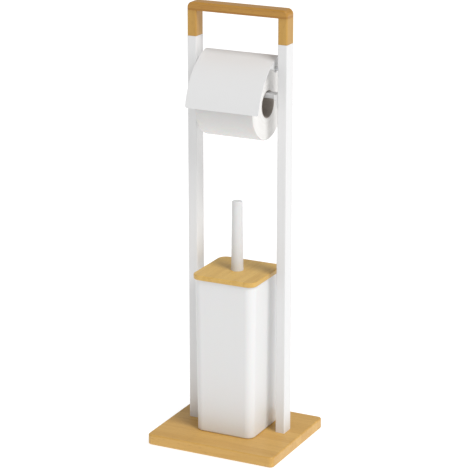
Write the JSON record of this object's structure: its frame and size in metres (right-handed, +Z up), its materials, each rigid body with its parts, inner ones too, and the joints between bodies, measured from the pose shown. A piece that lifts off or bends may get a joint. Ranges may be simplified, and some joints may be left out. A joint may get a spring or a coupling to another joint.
{
  "type": "toilet brush holder",
  "caption": "Free-standing toilet brush holder with a bamboo foot and carrying handle, a lidded brush pot, and a toilet roll bar under a hinged cover.",
  "frame": {"origin": "middle of the footprint, on the floor under the foot pads", "axes": "+Z up along the uprights, +X to the right across the uprights, +Y to the back; the cover's free edge and the brush pot face -Y"},
  "size_m": [0.21, 0.18, 0.666],
  "materials": {
    "bamboo_board": "clear lacquer, laminated bamboo",
    "bamboo_handle": "clear lacquer, laminated bamboo",
    "bamboo_lid": "clear lacquer, laminated bamboo",
    "dowel_wood": "plain beech",
    "white_metal": "satin white powder coat",
    "white_plastic": "satin moulded",
    "bristle": "fine bristles",
    "steel": "zinc plated",
    "rubber": "matt",
    "paper": "soft embossed tissue",
    "cardboard": "grey-brown board"
  },
  "bodies": {
    "frame": {"base_board": "bamboo_board", "base_bolts": "steel", "base_washers": "steel", "handle_bar": "bamboo_handle", "handle_dowels": "dowel_wood", "handle_screws": "steel", "handle_leg_left": "bamboo_handle", "handle_leg_right": "bamboo_handle", "cradle_rivets": "white_metal", "roll_bar": "white_metal", "upright_left": "white_metal", "upright_plug_left": "steel", "hinge_pin_left": "steel", "hinge_spacer_left": "white_plastic", "bar_cradle_left": "white_metal", "foot_pad_front_left": "rubber", "foot_pad_back_left": "rubber", "upright_right": "white_metal", "upright_plug_right": "steel", "hinge_pin_right": "steel", "hinge_spacer_right": "white_plastic", "bar_cradle_right": "white_metal", "foot_pad_front_right": "rubber", "foot_pad_back_right": "rubber"},
    "cover": {"cover": "white_metal"},
    "roll": {"paper_roll": "paper", "roll_core": "cardboard"},
    "pot": {"brush_pot": "white_plastic"},
    "brush": {"brush_lid": "bamboo_lid", "lid_nut": "white_plastic", "brush_handle": "white_plastic", "brush_stem": "white_plastic", "brush_head": "white_plastic", "bristles": "bristle"}
  },
  "joints": [
    {"name": "cover_hinge", "type": "hinge", "parent": "frame", "child": "cover", "pos_m": [0, 0.0115, 0.578], "axis": [-1, 0, 0], "range_deg": [0, 62]},
    {"name": "roll_spin", "type": "hinge", "parent": "frame", "child": "roll", "pos_m": [0, 0.012, 0.524], "axis": [1, 0, 0], "continuous": true},
    {"name": "pot_slide", "type": "slide", "parent": "frame", "child": "pot", "axis": [0, -1, 0], "range_m": [0, 0.085]},
    {"name": "brush_lift", "type": "slide", "parent": "pot", "child": "brush", "axis": [0, 0, 1], "range_m": [0, 0.09]}
  ]
}
